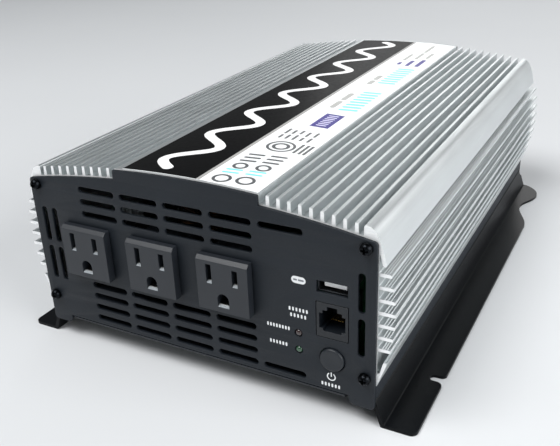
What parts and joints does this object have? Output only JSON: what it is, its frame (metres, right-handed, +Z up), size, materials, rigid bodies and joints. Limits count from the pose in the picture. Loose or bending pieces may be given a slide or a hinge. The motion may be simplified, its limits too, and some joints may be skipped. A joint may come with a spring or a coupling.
{
  "type": "power inverter",
  "caption": "Box-shaped power inverter in a finned aluminium housing with mains outlets, a charging port, a remote socket and a push button in front, and fans and battery terminals at the rear.",
  "frame": {"origin": "middle of the object's footprint, on the surface it stands on", "axes": "+X to the right seen from the socket panel, +Y from the socket panel to the battery terminals, +Z up"},
  "size_m": [0.207, 0.3132, 0.0983],
  "materials": {
    "anodised_aluminium": "satin extruded aluminium with fine lengthwise die lines",
    "black_cable": "soft black cable sheath",
    "black_plastic": "moulded black plastic",
    "black_screw": "black oxide steel",
    "brass": "machined brass",
    "capacitor_sleeve": "shrink sleeve on an aluminium can",
    "circuit_board": "green solder mask on glass fibre board",
    "clamp_aluminium": "plain milled aluminium bar",
    "copper_winding": "enamelled copper wire under clear tape",
    "ferrite": "matte sintered ferrite",
    "foot_powder_coat": "satin black powder coat on steel sheet",
    "green_lens": "clear tinted green lens",
    "label_film": "smooth printed polyester film, black band and white field",
    "outlet_plastic": "moulded dark grey plastic, lightly textured",
    "panel_powder_coat": "fine-grained charcoal powder coat on steel sheet",
    "plated_steel": "nickel-plated steel",
    "red_cable": "soft red cable sheath",
    "red_lens": "clear tinted red lens",
    "red_plastic": "moulded red plastic",
    "white_plastic": "moulded white plastic"
  },
  "bodies": {
    "root": {"base_tray": "panel_powder_coat", "bus_capacitor_1": "capacitor_sleeve", "bus_capacitor_2": "capacitor_sleeve", "button_spring": "plated_steel", "control_board": "circuit_board", "earth_contact_strip": "plated_steel", "earth_stud": "plated_steel", "fan_frame_left": "black_plastic", "fan_frame_right": "black_plastic", "fan_guard_left": "plated_steel", "fan_guard_right": "plated_steel", "foot_left": "foot_powder_coat", "foot_right": "foot_powder_coat", "front_panel": "panel_powder_coat", "front_screw_1": "black_screw", "front_screw_2": "black_screw", "front_screw_3": "black_screw", "front_screw_4": "black_screw", "housing_extrusion": "anodised_aluminium", "input_capacitor_1": "capacitor_sleeve", "input_capacitor_2": "capacitor_sleeve", "jack_contacts": "brass", "live_contact_strip": "plated_steel", "main_board": "circuit_board", "negative_battery_lead": "black_cable", "negative_terminal_base": "black_plastic", "negative_terminal_stud": "brass", "neutral_contact_strip": "plated_steel", "outlet_1": "outlet_plastic", "outlet_2": "outlet_plastic", "outlet_3": "outlet_plastic", "outlet_lead": "black_cable", "output_choke": "copper_winding", "positive_battery_lead": "red_cable", "positive_terminal_base": "red_plastic", "positive_terminal_stud": "brass", "power_led": "green_lens", "power_switch": "black_plastic", "protect_led": "red_lens", "rear_panel": "panel_powder_coat", "rear_screw_1": "black_screw", "rear_screw_2": "black_screw", "rear_screw_3": "black_screw", "rear_screw_4": "black_screw", "remote_jack": "black_plastic", "top_label": "label_film", "transformer_core_1": "ferrite", "transformer_core_2": "ferrite", "transformer_winding_1": "copper_winding", "transformer_winding_2": "copper_winding", "transistor_row_left": "clamp_aluminium", "transistor_row_right": "clamp_aluminium", "usb_shell": "plated_steel", "usb_tongue": "white_plastic"},
    "power_button": {"power_button": "black_plastic"},
    "fan_left": {"fan_rotor_left": "black_plastic"},
    "fan_right": {"fan_rotor_right": "black_plastic"},
    "negative_knob": {"negative_terminal_knob": "black_plastic"},
    "positive_knob": {"positive_terminal_knob": "red_plastic"}
  },
  "joints": [
    {"name": "power_button_press", "type": "slide", "parent": "root", "child": "power_button", "axis": [0, 1, 0], "range_m": [0, 0.0015], "stiffness_N_per_m": 400, "springref_m": -0.001},
    {"name": "fan_left_spin", "type": "hinge", "parent": "root", "child": "fan_left", "pos_m": [-0.053, 0.12375, 0.04951], "axis": [0, 1, 0], "continuous": true},
    {"name": "fan_right_spin", "type": "hinge", "parent": "root", "child": "fan_right", "pos_m": [0.053, 0.12375, 0.04951], "axis": [0, 1, 0], "continuous": true},
    {"name": "negative_knob_turn", "type": "hinge", "parent": "root", "child": "negative_knob", "pos_m": [-0.0135, 0.14455, 0.057], "axis": [0, 1, 0], "continuous": true},
    {"name": "positive_knob_turn", "type": "hinge", "parent": "root", "child": "positive_knob", "pos_m": [0.0135, 0.14455, 0.057], "axis": [0, 1, 0], "continuous": true}
  ]
}
